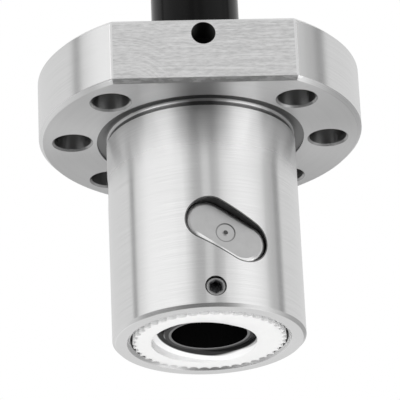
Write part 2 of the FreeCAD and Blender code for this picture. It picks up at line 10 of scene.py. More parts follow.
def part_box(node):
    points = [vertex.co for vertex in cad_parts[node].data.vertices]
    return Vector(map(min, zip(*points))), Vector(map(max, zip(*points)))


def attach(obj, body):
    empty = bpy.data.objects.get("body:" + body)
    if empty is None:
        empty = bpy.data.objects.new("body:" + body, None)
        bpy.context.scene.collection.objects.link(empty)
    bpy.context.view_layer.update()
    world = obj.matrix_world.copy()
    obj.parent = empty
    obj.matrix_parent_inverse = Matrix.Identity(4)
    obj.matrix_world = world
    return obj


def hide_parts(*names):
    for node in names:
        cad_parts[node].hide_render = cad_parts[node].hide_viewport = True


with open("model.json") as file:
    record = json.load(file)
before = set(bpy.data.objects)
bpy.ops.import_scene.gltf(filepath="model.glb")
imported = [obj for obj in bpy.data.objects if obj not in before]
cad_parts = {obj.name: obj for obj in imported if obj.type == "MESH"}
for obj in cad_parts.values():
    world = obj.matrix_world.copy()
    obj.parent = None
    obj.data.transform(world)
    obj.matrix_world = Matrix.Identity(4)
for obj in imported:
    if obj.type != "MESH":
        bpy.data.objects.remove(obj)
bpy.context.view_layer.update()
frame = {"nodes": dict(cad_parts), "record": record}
scene = bpy.context.scene
scene.view_settings.view_transform = "Standard"

MM = 0.001


def middle_of(name):
    """Middle of a solid's box."""
    low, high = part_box(name)
    return (low + high) / 2


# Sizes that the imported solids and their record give
MOUNTS = {mount["name"]: mount for mount in frame["record"]["mounts"]}
BODY_RADIUS = MOUNTS["body_spigot"]["dims"]["r_mm"] * MM
FLANGE_SEAT = MOUNTS["flange_seat"]["pos_m"][2]
BOLT_RADIUS = MOUNTS["corner_bolts"]["dims"]["hole_r_mm"] * MM
BOLT_CORNER = MOUNTS["corner_bolts"]["dims"]["spacing_x_mm"] * MM / 2
BOLT_SIDE = MOUNTS["side_bolts"]["dims"]["spacing_x_mm"] * MM / 2
PORT_RADIUS = MOUNTS["oil_port"]["dims"]["r_mm"] * MM
PORT_LENGTH = MOUNTS["oil_port"]["dims"]["length_mm"] * MM
PORT_PLACE = Vector(MOUNTS["oil_port"]["pos_m"])
NUT_LOW, NUT_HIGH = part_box("nut_body")
FLANGE_RADIUS = NUT_HIGH.x
FLAT_REACH = NUT_HIGH.y
SLEEVE_LOW, SLEEVE_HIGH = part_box("transport_sleeve")
WIPER_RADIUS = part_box("nose_wiper")[1].x
KEY_HOLE_HEIGHT = middle_of("flange_grub_screw").z
INSERTS = sorted(name for name in frame["nodes"] if name.startswith("return_insert_"))
INSERT_HEIGHT = middle_of(INSERTS[0]).z
INSERT_STEP = middle_of(INSERTS[1]).z - INSERT_HEIGHT

# Sizes of the solids that the record leaves out, for the finishes to follow
INSERT_ANGLE = 10.7  # degrees from the front, of the first insert
INSERT_LEAN = math.radians(31.5)
SLOT_HALF = 3.05 * MM  # half the way between the centres of a slot's two ends
SLOT_RADIUS = 3.2 * MM
RELIEF_START = FLANGE_SEAT - 0.9 * MM
RELIEF_FLOOR = FLANGE_SEAT + 0.25 * MM
RELIEF_OUTER = BODY_RADIUS + 1.4 * MM
KEY_HOLE_RADIUS = 1.75 * MM
POCKET_RADIUS = 11.4 * MM
BOLT_BEVEL = 0.3 * MM
FLANGE_BEVEL = 0.6 * MM
NOSE_BEVEL = 0.45 * MM

# Reach of finishes, marks, wear, painted highlights and painted shade; a pair is from where to where
SKIN = 0.05 * MM  # how near to a face counts as on it
BODY_SKIN = 0.1 * MM
HAIR = 0.02 * MM  # a step past an edge that takes the edge in
INSIDE_RADIUS = POCKET_RADIUS + 0.3 * MM  # part of the way up the bevel at a pocket's mouth
# how far in from the corners of the flats the painted highlight reaches
CORNER_HIGHLIGHT = 0.12 * MM
SLOT_DEPTH = (WIPER_RADIUS + 0.6 * MM, BODY_RADIUS - BODY_SKIN)  # radii, within the body's wall, where the slots and holes are painted in shade
SLOT_HEIGHT = (1.0 * MM, RELIEF_START - BODY_SKIN)
# where a painted shade line runs round the slot's edge
SLOT_EDGE = (SLOT_RADIUS - 0.1 * MM, SLOT_RADIUS + 0.16 * MM)
RELIEF_DEPTH = (BODY_RADIUS - 0.5 * MM, RELIEF_OUTER + HAIR)  # radii, where the relief groove is painted in shade
RELIEF_HEIGHT = (RELIEF_START - HAIR, RELIEF_FLOOR + HAIR)
RELIEF_LIT = (FLANGE_SEAT - 0.14 * MM, FLANGE_SEAT + 0.17 * MM)
RUN_OUT = (21.0 * MM, 29.0 * MM)  # heights where the ground finish fades out below the flange
MILL_MIDDLE = (-11.5 * MM, 29.0 * MM)  # X and Z of the cutter where it left arcs on the flats
ARCS_FADE = (-8.5 * MM, -3.5 * MM)
MARK_LINE = (1.26 * MM, 1.46 * MM)  # from the middle of an insert, like the pip; the ring of the mark and its pip are painted in shade
PIP_RADIUS = 0.34 * MM
HIGHLIGHT_EDGE = (2.2 * MM, 2.7 * MM)  # painted highlight, from the line between the centres of the slot's ends
HIGHLIGHT_GAP = (0.2 * MM, 1.4 * MM)  # along the insert to either side, fainter at its middle
HIGHLIGHT_END = (-SLOT_HALF - 0.8 * MM, -SLOT_HALF + 0.2 * MM)  # along it, not painted round one end
HIGHLIGHT_SIDE = (-0.6 * MM, -1.6 * MM)  # across it, on the lower side alone
WIPER_WALL = (0.02 * MM, 0.1 * MM)  # depth below the end face of the nut, past which the inner wall is painted lighter
# depth and radius of painted shade, near black, on the rib deep in the bore
BORE_SHADE_DEPTH = (0.45 * MM, 0.75 * MM)
BORE_SHADE_RADIUS = (7.75 * MM, 7.55 * MM)
SLEEVE_EDGE_HIGHLIGHT = (5.4 * MM, 5.86 * MM)  # radii of a painted highlight, a bright ring on the sawn ends

# Sizes of the pieces that are made here
GRUB_RADIUS = 1.5 * MM
GRUB_LENGTH = 3.0 * MM
GRUB_PITCH = 0.5 * MM
GRUB_THREAD_DEPTH = 0.27 * MM
GRUB_POINT_RADIUS = 0.15 * MM
GRUB_POINT_LENGTH = 1.35 * MM
GRUB_RIM = 0.25 * MM
GRUB_RIM_STEP = 0.02 * MM
GRUB_RIM_DROP = 0.03 * MM
HEX_ACROSS = 1.5 * MM
HEX_DEPTH = 1.3 * MM
HEX_LEAD_IN = 0.12 * MM
PORT_PITCH = 1.0 * MM
PORT_THREAD_DEPTH = 0.5 * MM
THREAD_FOOT = 0.47  # half the width of a thread's foot, in pitches
THREAD_CREST = 0.15  # width of a thread's crest, in widths of its foot
THREAD_STEPS = 48  # straight steps in one turn of a thread
LATHE_SIDES = 72
SHARP_ANGLE = math.radians(30)
BALL_SUBDIVISIONS = 4


# Node trees

def add(tree, kind, inputs=None, **settings):
    """A node of that kind; inputs, by name or number, get a constant or another node's output."""
    node = tree.nodes.new(kind)
    for name, value in settings.items():
        setattr(node, name, value)
    for key, value in (inputs or {}).items():
        socket = node.inputs[key]
        if isinstance(value, bpy.types.NodeSocket):
            tree.links.new(value, socket)
        else:
            socket.default_value = value
    return node


def calc(tree, operation, *values):
    return add(tree, "ShaderNodeMath", dict(enumerate(values)), operation=operation).outputs[0]


def total(tree, first, *others):
    for value in others:
        first = calc(tree, "ADD", first, value)
    return first


def product(tree, first, *others):
    for value in others:
        first = calc(tree, "MULTIPLY", first, value)
    return first


def minus(tree, first, second):
    return calc(tree, "SUBTRACT", first, second)


def mean(tree, first, second):
    return product(tree, total(tree, first, second), 0.5)


def more(tree, value, low):
    """1 where the value is over low, else 0."""
    return calc(tree, "GREATER_THAN", value, low)


def less(tree, value, high):
    """1 where the value is under high, else 0."""
    return calc(tree, "LESS_THAN", value, high)


def between(tree, value, low, high):
    """1 where low < value < high, else 0."""
    return product(tree, more(tree, value, low), less(tree, value, high))


def ease(tree, value, low, high, start=0.0, end=1.0):
    """A smooth step from start at low to end at high."""
    inputs = {"Value": value, "From Min": low, "From Max": high, "To Min": start, "To Max": end}
    return add(tree, "ShaderNodeMapRange", inputs, interpolation_type="SMOOTHSTEP").outputs[0]


# A Mix node has a pair of inputs and an output for each kind of value; the numbers pick them.

def choose(tree, share, first, second):
    """A number between first, at share 0, and second, at share 1."""
    return add(tree, "ShaderNodeMix", {0: share, 2: first, 3: second}, data_type="FLOAT").outputs[0]


def turn_way(tree, share, first, second):
    """A direction between first, at share 0, and second, at share 1."""
    return add(tree, "ShaderNodeMix", {0: share, 4: first, 5: second}, data_type="VECTOR").outputs[1]


def tint(tree, share, first, second):
    """A colour between first, at share 0, and second, at share 1."""
    return add(tree, "ShaderNodeMix", {0: share, 6: first, 7: second}, data_type="RGBA").outputs[2]


def grey(level):
    return (level, level, level, 1.0)


def shade(tree, share, first, second):
    """A grey between the levels first, at share 0, and second, at share 1."""
    return tint(tree, share, grey(first), grey(second))


def split(tree, vector):
    return add(tree, "ShaderNodeSeparateXYZ", {0: vector}).outputs[:]


def join(tree, x, y, z):
    return add(tree, "ShaderNodeCombineXYZ", {0: x, 1: y, 2: z}).outputs[0]


def noise(tree, vector, scale=1.0, detail=2.0, roughness=0.5):
    inputs = {"Vector": vector, "Scale": scale, "Detail": detail, "Roughness": roughness}
    return add(tree, "ShaderNodeTexNoise", inputs).outputs[0]


class Finish:
    """A material under construction: its tree, its shader and where a point of the piece lies."""

    def __init__(self, name, sockets):
        self.material = bpy.data.materials.new(name)
        self.material.use_nodes = True
        self.tree = self.material.node_tree
        self.shader = self.tree.nodes["Principled BSDF"]
        self.place = add(self.tree, "ShaderNodeTexCoord").outputs["Object"]
        self.x, self.y, self.z = split(self.tree, self.place)
        for socket, value in sockets.items():
            self.shader.inputs[socket].default_value = value

    def length(self, first, second):
        """Length of a way of two parts at right angles."""
        way = join(self.tree, first, second, 0.0)
        return add(self.tree, "ShaderNodeVectorMath", {0: way}, operation="LENGTH").outputs["Value"]

    def from_axis(self):
        """Distance from the screw axis."""
        return self.length(self.x, self.y)

    def round_axis(self):
        """Angle round the screw axis from the front, in radians."""
        return calc(self.tree, "ARCTAN2", self.x, product(self.tree, self.y, -1.0))

    def from_end(self, low, high):
        """Distance from the nearer of two heights."""
        return calc(self.tree, "MINIMUM", minus(self.tree, self.z, low), minus(self.tree, high, self.z))

    def from_insert(self):
        """Lengths along and across the nearest return insert, from its middle."""
        tree = self.tree
        sector = 360.0 / len(INSERTS)
        turned = minus(tree, calc(tree, "DEGREES", self.round_axis()), INSERT_ANGLE - sector / 2)
        turned = calc(tree, "WRAP", turned, 360.0, 0.0)
        number = calc(tree, "FLOOR", product(tree, turned, 1 / sector))
        turned = minus(tree, turned, product(tree, number, sector))
        turned = calc(tree, "RADIANS", minus(tree, turned, sector / 2))
        side = product(tree, self.from_axis(), calc(tree, "SINE", turned))
        rise = minus(tree, self.z, total(tree, product(tree, number, INSERT_STEP), INSERT_HEIGHT))
        lean, level = math.sin(INSERT_LEAN), math.cos(INSERT_LEAN)
        along = total(tree, product(tree, side, level), product(tree, rise, -lean))
        across = total(tree, product(tree, side, lean), product(tree, rise, level))
        return along, across

    def from_slot_line(self, along, across):
        """Distance from the line between the centres of a slot's two ends."""
        past = minus(self.tree, calc(self.tree, "ABSOLUTE", along), SLOT_HALF)
        return self.length(calc(self.tree, "MAXIMUM", past, 0.0), across)

    def speckle(self, scale, detail, roughness=0.5):
        """Noise, 0 to 1, alike in every direction."""
        return noise(self.tree, self.place, scale, detail, roughness)

    def set(self, socket, value):
        self.tree.links.new(value, self.shader.inputs[socket])

    def roughen(self, least, marks, spread):
        """Roughness from the least upwards, by marks times the spread."""
        self.set("Roughness", total(self.tree, least, product(self.tree, marks, spread)))

    def bump(self, height, depth):
        """Raise the surface by the height times a depth in metres."""
        inputs = {"Height": height, "Strength": 1.0, "Distance": depth}
        self.set("Normal", add(self.tree, "ShaderNodeBump", inputs).outputs[0])

    def lay_grain(self, upright):
        """Grain round the screw axis, as turning and grinding leave it, or upright by that share."""
        tangent = add(self.tree, "ShaderNodeTangent", direction_type="RADIAL", axis="Z").outputs[0]
        self.set("Tangent", turn_way(self.tree, upright, tangent, (0.0, 0.0, 1.0)))


# Finish of the nut body. Where parts of it overlap, the later one holds.
NUT_ROUGHNESS = {
    "nose": 0.17,
    "nose_bevel": 0.20,
    "rim": 0.17,
    "seat": 0.36,
    "flat": 0.40,
    "inside": 0.36,
    "bolt_hole": 0.36,
}
# Greys laid over the grain: a painted highlight on the corners, painted shade in the pocket, bolt holes,
# hole bevels, slots, slot edges, key hole and relief groove (lighter on the hole bevels), and a painted
# highlight line where the relief is lit
NUT_GREY = {
    "corner": 0.97,
    "nose": 0.93,
    "pocket": 0.10,
    "bolt_hole": 0.22,
    "hole_bevel": 0.45,
    "slot": 0.16,
    "slot_edge": 0.16,
    "key_hole": 0.10,
    "relief": 0.20,
    "relief_lit": 0.58,
}
ROUGH_ELSEWHERE = 0.30
ROUGH_GROUND = 0.17
ROUGH_RUN_OUT = 0.36
ROUGH_CLOUD = 0.06
GRAIN_HEIGHT = 2.5e-6  # metres, for a depth of 1
GROUND_DEPTH = 0.12
TURNED_DEPTH = 1.2
MILLED_DEPTH = 4.0
LAP = 1.5  # changes of a turned line in one radian

# Dark and light grey of its worked faces, and the range of their marks over which one becomes the other
GROUND_GREY = (0.77, 0.83)
GROUND_SPREAD = (0.3, 0.7)
SEAT_GREY = (0.66, 0.77)
MILLED_GREY = (0.66, 1.0)
MILLED_SPREAD = (0.32, 0.68)
BURR_GREY = (0.68, 1.0)
BURR_SPREAD = (0.4, 0.64)


def nut_faces(finish, radius, deep):
    """Where the outside faces and edges of the nut body are: 1 there, else 0."""
    tree = finish.tree
    height = finish.z
    past_nose = NUT_LOW.z + SKIN
    return {
        "flat": more(tree, deep, FLAT_REACH - SKIN),
        "flat_bevel": product(tree, between(tree, height, FLANGE_SEAT + SKIN, FLANGE_SEAT + FLANGE_BEVEL),
                              between(tree, deep, FLAT_REACH - FLANGE_BEVEL, FLAT_REACH - SKIN)),
        "corner": product(tree, more(tree, deep, FLAT_REACH - CORNER_HIGHLIGHT),
                          more(tree, radius, FLANGE_RADIUS - CORNER_HIGHLIGHT)),
        "rim": more(tree, radius, FLANGE_RADIUS - SKIN),
        "seat": product(tree, between(tree, height, FLANGE_SEAT - SKIN, FLANGE_SEAT + SKIN),
                        more(tree, radius, RELIEF_OUTER)),
        "body": product(tree, between(tree, radius, BODY_RADIUS - BODY_SKIN, BODY_RADIUS + BODY_SKIN),
                        less(tree, height, RELIEF_START)),
        "nose": product(tree, less(tree, height, past_nose), more(tree, radius, INSIDE_RADIUS)),
        "nose_bevel": product(tree, between(tree, height, past_nose, NUT_LOW.z + NOSE_BEVEL),
                              more(tree, radius, BODY_RADIUS - NOSE_BEVEL)),
    }


def nut_hollows(finish, radius, deep, faces):
    """Where the holes, slots and grooves of the nut body are: 1 there, else 0."""
    tree = finish.tree
    height = finish.z
    across = calc(tree, "ABSOLUTE", finish.x)
    from_corner = finish.length(minus(tree, across, BOLT_CORNER), minus(tree, deep, BOLT_CORNER))
    from_side = finish.length(minus(tree, across, BOLT_SIDE), deep)
    from_bolt = calc(tree, "MINIMUM", from_corner, from_side)
    from_key = finish.length(finish.x, minus(tree, height, KEY_HOLE_HEIGHT))
    from_slot = finish.from_slot_line(*finish.from_insert())
    relief = product(tree, between(tree, radius, *RELIEF_DEPTH), between(tree, height, *RELIEF_HEIGHT),
                     minus(tree, 1.0, faces["seat"]))
    return {
        "inside": less(tree, radius, INSIDE_RADIUS),
        "pocket": between(tree, radius, WIPER_RADIUS, POCKET_RADIUS + SKIN),
        "bolt_hole": less(tree, from_bolt, BOLT_RADIUS + HAIR),
        "hole_bevel": between(tree, from_bolt, BOLT_RADIUS + HAIR, BOLT_RADIUS + BOLT_BEVEL),
        "slot": product(tree, between(tree, radius, *SLOT_DEPTH), between(tree, height, *SLOT_HEIGHT)),
        "slot_edge": product(tree, faces["body"], between(tree, from_slot, *SLOT_EDGE)),
        "key_hole": product(tree, less(tree, from_key, KEY_HOLE_RADIUS + HAIR),
                            between(tree, finish.y, -FLAT_REACH + HAIR, -WIPER_RADIUS)),
        "relief": relief,
        "relief_lit": product(tree, relief, between(tree, height, *RELIEF_LIT)),
    }


def turned_lines(finish, radius, marks, detail):
    """Lines round the screw axis, so many in a metre."""
    tree = finish.tree
    lap = product(tree, finish.round_axis(), LAP)
    way = join(tree, lap, product(tree, finish.z, marks), product(tree, radius, marks))
    return noise(tree, way, detail=detail)


def mill_marks(finish, height, row, along, across, detail=3.0, roughness=0.6):
    """Marks on a flat, so many in a metre along X and across it, in a row of the noise of their own."""
    tree = finish.tree
    way = join(tree, product(tree, finish.x, along), row, product(tree, height, across))
    return noise(tree, way, detail=detail, roughness=roughness)


def milled_flat(finish):
    """Straight mill marks, with arcs of the cutter at one end, and torn steel over both."""
    tree = finish.tree
    mill_x, mill_height = MILL_MIDDLE
    sweep = finish.length(minus(tree, finish.x, mill_x), minus(tree, finish.z, mill_height))
    arcs = mill_marks(finish, sweep, row=7.0, along=60.0, across=3400.0, detail=4.0, roughness=0.7)
    straight = mill_marks(finish, finish.z, row=0.0, along=90.0, across=2600.0)
    torn = mill_marks(finish, finish.z, row=3.0, along=900.0, across=4200.0)
    return mean(tree, choose(tree, ease(tree, finish.x, *ARCS_FADE), arcs, straight), torn)


def ground_steel():
    """Nut body: ground outside, turned faces, milled flats, drilled holes, hard track inside."""
    finish = Finish("ground_steel", {"Metallic": 1.0, "Anisotropic": 1.0, "Anisotropic Rotation": 0.25})
    tree = finish.tree
    radius = finish.from_axis()
    deep = calc(tree, "ABSOLUTE", finish.y)
    parts = nut_faces(finish, radius, deep)
    parts.update(nut_hollows(finish, radius, deep, parts))
    finish.lay_grain(parts["flat"])

    fine = turned_lines(finish, radius, marks=9000.0, detail=3.0)
    turned = mean(tree, fine, turned_lines(finish, radius, marks=1400.0, detail=2.0))
    milled = milled_flat(finish)
    burr = mill_marks(finish, finish.z, row=11.0, along=600.0, across=2600.0)
    cloud = finish.speckle(scale=160.0, detail=3.0)

    depth = choose(tree, parts["body"], TURNED_DEPTH, GROUND_DEPTH)
    depth = choose(tree, parts["flat"], depth, MILLED_DEPTH)
    grain = choose(tree, parts["flat"], turned, milled)
    finish.bump(product(tree, grain, depth), GRAIN_HEIGHT)

    run_out = ease(tree, finish.z, *RUN_OUT, ROUGH_GROUND, ROUGH_RUN_OUT)
    rough = choose(tree, parts["body"], ROUGH_ELSEWHERE, run_out)
    for part, level in NUT_ROUGHNESS.items():
        rough = choose(tree, parts[part], rough, level)
    finish.roughen(rough, minus(tree, cloud, 0.5), ROUGH_CLOUD)

    steel = shade(tree, ease(tree, fine, *GROUND_SPREAD), *GROUND_GREY)
    steel = tint(tree, parts["seat"], steel, shade(tree, turned, *SEAT_GREY))
    flat = shade(tree, ease(tree, milled, *MILLED_SPREAD), *MILLED_GREY)
    steel = tint(tree, parts["flat"], steel, flat)
    flat_bevel = shade(tree, ease(tree, burr, *BURR_SPREAD), *BURR_GREY)
    steel = tint(tree, parts["flat_bevel"], steel, flat_bevel)
    # Painted highlights on the corners and the relief's lit line; painted shade in the pocket, holes, slots
    # and relief groove
    for part, level in NUT_GREY.items():
        steel = tint(tree, parts[part], steel, grey(level))
    finish.set("Base Color", steel)
    return finish.material


# Finishes of the other pieces

def insert_steel():
    """Return inserts: moulded and sintered, a fine matt grain, painted shade in the mark and a painted
    highlight along the lower edge.
    """
    finish = Finish("insert_steel", {"Metallic": 1.0})
    tree = finish.tree
    patch = finish.speckle(scale=900.0, detail=3.0)
    finish.bump(finish.speckle(scale=9000.0, detail=3.0, roughness=0.6), depth=4e-6)
    finish.roughen(least=0.33, marks=patch, spread=0.16)
    along, across = finish.from_insert()
    off_middle = finish.length(along, across)
    steel = shade(tree, patch, 0.50, 0.62)
    # Painted shade in the ring and the pip of the moulded mark
    steel = tint(tree, between(tree, off_middle, *MARK_LINE), steel, grey(0.30))
    steel = tint(tree, less(tree, off_middle, PIP_RADIUS), steel, grey(0.10))
    # A painted highlight along the insert's lower edge
    painted_highlight = product(tree, between(tree, finish.from_slot_line(along, across), *HIGHLIGHT_EDGE),
                     ease(tree, calc(tree, "ABSOLUTE", along), *HIGHLIGHT_GAP, start=0.3),
                     ease(tree, along, *HIGHLIGHT_END),
                     ease(tree, across, *HIGHLIGHT_SIDE))
    finish.set("Base Color", tint(tree, painted_highlight, steel, grey(1.0)))
    return finish.material


def ball_steel():
    """Balls: polished, with a breath of oil."""
    finish = Finish("ball_steel", {"Metallic": 1.0})
    film = finish.speckle(scale=700.0, detail=2.0)
    finish.roughen(least=0.05, marks=film, spread=0.06)
    finish.set("Base Color", tint(finish.tree, film, (0.78, 0.78, 0.79, 1.0), grey(0.86)))
    return finish.material


def white_wiper():
    """Wipers: white moulded plastic, a little translucent, with the inner wall painted lighter and painted
    shade on the rib deep in the bore.
    """
    finish = Finish("white_wiper", {
        "Subsurface Weight": 0.4,
        "Subsurface Scale": 1.2 * MM,
        "Subsurface Radius": (1.0, 1.0, 1.0),
        "IOR": 1.5,
    })
    tree = finish.tree
    depth = finish.from_end(NUT_LOW.z, NUT_HIGH.z)
    radius = finish.from_axis()
    # Painted shade, near black, on the rib deep in the bore
    bore_shade = product(tree, ease(tree, depth, *BORE_SHADE_DEPTH), ease(tree, radius, *BORE_SHADE_RADIUS))
    patch = finish.speckle(scale=350.0, detail=2.0)
    finish.bump(finish.speckle(scale=4000.0, detail=3.0), depth=3e-6)
    finish.roughen(least=0.36, marks=patch, spread=0.16)
    white = tint(tree, patch, (0.86, 0.86, 0.855, 1.0), (0.91, 0.91, 0.905, 1.0))
    # Painted light: the inner wall a shade whiter than the face
    white = tint(tree, ease(tree, depth, *WIPER_WALL), white, grey(0.93))
    finish.set("Base Color", tint(tree, bore_shade, white, grey(0.012)))
    return finish.material


def black_screw():
    """Grub screws: black oxide, rubbed bare on the edges of the grain and on the rim."""
    finish = Finish("black_screw", {"Metallic": 1.0})
    tree = finish.tree
    rub = finish.speckle(scale=2500.0, detail=4.0, roughness=0.6)
    finish.bump(rub, depth=4e-6)
    finish.roughen(least=0.30, marks=rub, spread=0.2)
    black = tint(tree, ease(tree, rub, 0.45, 0.75), (0.045, 0.045, 0.048, 1.0), grey(0.17))
    worn = add(tree, "ShaderNodeAttribute", attribute_name="worn").outputs["Fac"]
    finish.set("Base Color", tint(tree, worn, black, grey(0.62)))
    return finish.material


def sleeve_lines(finish, sideways, along, detail, roughness=0.5):
    """Lines on the sleeve, so many marks in a radian round it and in a metre along it."""
    tree = finish.tree
    way = join(tree, product(tree, finish.round_axis(), sideways), product(tree, finish.z, along), 0.0)
    return noise(tree, way, detail=detail, roughness=roughness)


def black_sleeve():
    """Shipping sleeve: black extruded plastic, with draw lines along it, light scuffs and a painted
    highlight ring on the sawn ends.
    """
    finish = Finish("black_sleeve", {"IOR": 1.5, "Specular Tint": grey(0.22)})
    tree = finish.tree
    finish.bump(sleeve_lines(finish, sideways=40.0, along=30.0, detail=3.0), depth=3e-6)
    scuff = sleeve_lines(finish, sideways=6.0, along=220.0, detail=4.0, roughness=0.65)
    sawn = less(tree, finish.from_end(SLEEVE_LOW.z, SLEEVE_HIGH.z), HAIR)
    wall = ease(tree, scuff, 0.5, 0.8, start=0.12, end=0.24)
    finish.set("Roughness", choose(tree, sawn, wall, 0.55))
    black = shade(tree, scuff, 0.002, 0.005)
    # A painted highlight ring on the sawn ends
    end = shade(tree, between(tree, finish.from_axis(), *SLEEVE_EDGE_HIGHLIGHT), 0.03, 0.16)
    finish.set("Base Color", tint(tree, sawn, black, end))
    return finish.material


def tapped_steel():
    """Thread cut in the oil port: bright flanks with tearing along the cut."""
    finish = Finish("tapped_steel", {"Metallic": 1.0})
    torn = finish.speckle(scale=3500.0, detail=3.0)
    finish.bump(torn, depth=4e-6)
    finish.roughen(least=0.26, marks=torn, spread=0.14)
    finish.set("Base Color", shade(finish.tree, torn, 0.6, 0.78))
    return finish.material


FINISHES = {
    "ground_steel": ground_steel(),
    "insert_steel": insert_steel(),
    "ball_steel": ball_steel(),
    "white_wiper": white_wiper(),
    "black_screw": black_screw(),
    "black_sleeve": black_sleeve(),
}
for subpart in frame["record"]["subparts"]:
    node = frame["nodes"][subpart["node"]]
    node.material_slots[0].material = FINISHES[subpart["material_slot"]]


# Pieces grown by geometry trees

def new_growth(name, sizes):
    """A geometry tree with a number input for each size; gives the tree and what its inputs hold."""
    tree = bpy.data.node_groups.new(name, "GeometryNodeTree")
    tree.interface.new_socket("Geometry", in_out="INPUT", socket_type="NodeSocketGeometry")
    for size in sizes:
        tree.interface.new_socket(size, in_out="INPUT", socket_type="NodeSocketFloat")
    tree.interface.new_socket("Geometry", in_out="OUTPUT", socket_type="NodeSocketGeometry")
    return tree, add(tree, "NodeGroupInput").outputs


def end_growth(tree, geometry, material):
    """The end of every tree: real mesh instead of instances, and its material."""
    real = add(tree, "GeometryNodeRealizeInstances", {0: geometry}).outputs[0]
    dressed = add(tree, "GeometryNodeSetMaterial", {"Geometry": real, "Material": material}).outputs[0]
    add(tree, "NodeGroupOutput", {0: dressed})


def grow(name, tree, seed, sizes):
    """Run a tree on a seed mesh with those sizes, and keep the result as a plain mesh."""
    piece = bpy.data.objects.new(name, seed)
    scene.collection.objects.link(piece)
    modifier = piece.modifiers.new(tree.name, "NODES")
    modifier.node_group = tree
    for item in tree.interface.items_tree:
        if item.in_out == "INPUT" and item.name in sizes:
            modifier[item.identifier] = sizes[item.name]
    graph = bpy.context.evaluated_depsgraph_get()
    grown = bpy.data.meshes.new_from_object(piece.evaluated_get(graph), depsgraph=graph)
    piece.modifiers.remove(modifier)
    piece.data = grown
    return piece


def ball_tree():
    """A smooth ball at each point of the seed."""
    tree, sizes = new_growth("ball_row", ["Ball Radius"])
    round_shape = {"Radius": sizes["Ball Radius"], "Subdivisions": BALL_SUBDIVISIONS}
    ball = add(tree, "GeometryNodeMeshIcoSphere", round_shape).outputs[0]
    smooth = add(tree, "GeometryNodeSetShadeSmooth", {0: ball}).outputs[0]
    places = {"Points": sizes["Geometry"], "Instance": smooth}
    end_growth(tree, add(tree, "GeometryNodeInstanceOnPoints", places).outputs[0], FINISHES["ball_steel"])
    return tree


def thread_tree(name, material):
    """The seed with a screw thread round the Z axis: a ridge, outwards or inwards, along a helix."""
    tree, sizes = new_growth(name, ["Root Radius", "Ridge", "Pitch", "Turns", "Start"])
    ridge = sizes["Ridge"]
    helix = add(tree, "GeometryNodeCurveSpiral", {
        "Resolution": THREAD_STEPS,
        "Rotations": sizes["Turns"],
        "Start Radius": sizes["Root Radius"],
        "End Radius": sizes["Root Radius"],
        "Height": product(tree, sizes["Turns"], sizes["Pitch"]),
    }).outputs[0]
    foot = product(tree, sizes["Pitch"], THREAD_FOOT)
    crest = product(tree, foot, THREAD_CREST)
    corners = [(0.0, foot), (ridge, crest), (ridge, minus(tree, 0.0, crest)), (0.0, minus(tree, 0.0, foot))]
    points = {f"Point {number}": join(tree, *corner, 0.0) for number, corner in enumerate(corners, start=1)}
    profile = add(tree, "GeometryNodeCurvePrimitiveQuadrilateral", points, mode="POINTS").outputs[0]
    upright = add(tree, "GeometryNodeSetCurveNormal", {"Curve": helix}, mode="Z_UP").outputs[0]
    sweep = {"Curve": upright, "Profile Curve": profile, "Fill Caps": True}
    swept = add(tree, "GeometryNodeCurveToMesh", sweep).outputs[0]
    # The sweep of an outward ridge comes inside out
    inside_out = {"Mesh": swept, "Selection": more(tree, ridge, 0.0)}
    mended = add(tree, "GeometryNodeFlipFaces", inside_out).outputs[0]
    lift = join(tree, 0.0, 0.0, sizes["Start"])
    placed = add(tree, "GeometryNodeSetPosition", {"Geometry": mended, "Offset": lift}).outputs[0]
    both = add(tree, "GeometryNodeJoinGeometry")
    for geometry in (placed, sizes["Geometry"]):
        tree.links.new(geometry, both.inputs[0])
    end_growth(tree, both.outputs[0], material)
    return tree


def grow_balls():
    """One row of balls a circuit, each ball where its solid is."""
    tree = ball_tree()
    balls = [name for name in frame["nodes"] if "_ball_" in name]
    for circuit in sorted({name.split("_ball_")[0] for name in balls}):
        row = sorted(name for name in balls if name.startswith(circuit))
        low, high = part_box(row[0])
        seed = bpy.data.meshes.new(circuit)
        seed.from_pydata([middle_of(name) for name in row], [], [])
        piece = grow(f"{circuit}_balls", tree, seed, {"Ball Radius": (high.z - low.z) / 2})
        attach(piece, "nut")
        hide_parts(*row)


def lathe(name, rings):
    """A closed mesh round the Z axis from rings of (radius, height, hexagon?, wear), from pole to pole.

    The radius of a hexagon is half its width across flats.
    """
    shape = bmesh.new()
    loops = []
    for radius, height, hexagon, wear in rings:
        loop = []
        for side in range(LATHE_SIDES):
            turn = 2 * math.pi * side / LATHE_SIDES
            reach = radius
            if hexagon:
                reach = radius / math.cos((turn + math.pi / 6) % (math.pi / 3) - math.pi / 6)
            loop.append(shape.verts.new((reach * math.cos(turn), reach * math.sin(turn), height)))
        loops.append(loop)
    for lower, upper in zip(loops, loops[1:]):
        for side in range(LATHE_SIDES):
            after = (side + 1) % LATHE_SIDES
            shape.faces.new((lower[side], lower[after], upper[after], upper[side]))
    shape.faces.new(reversed(loops[0]))
    shape.faces.new(loops[-1])
    mesh = bpy.data.meshes.new(name)
    shape.to_mesh(mesh)
    shape.free()
    worn = mesh.attributes.new("worn", "FLOAT", "POINT")
    worn.data.foreach_set("value", [wear for *_, wear in rings for side in range(LATHE_SIDES)])
    return mesh


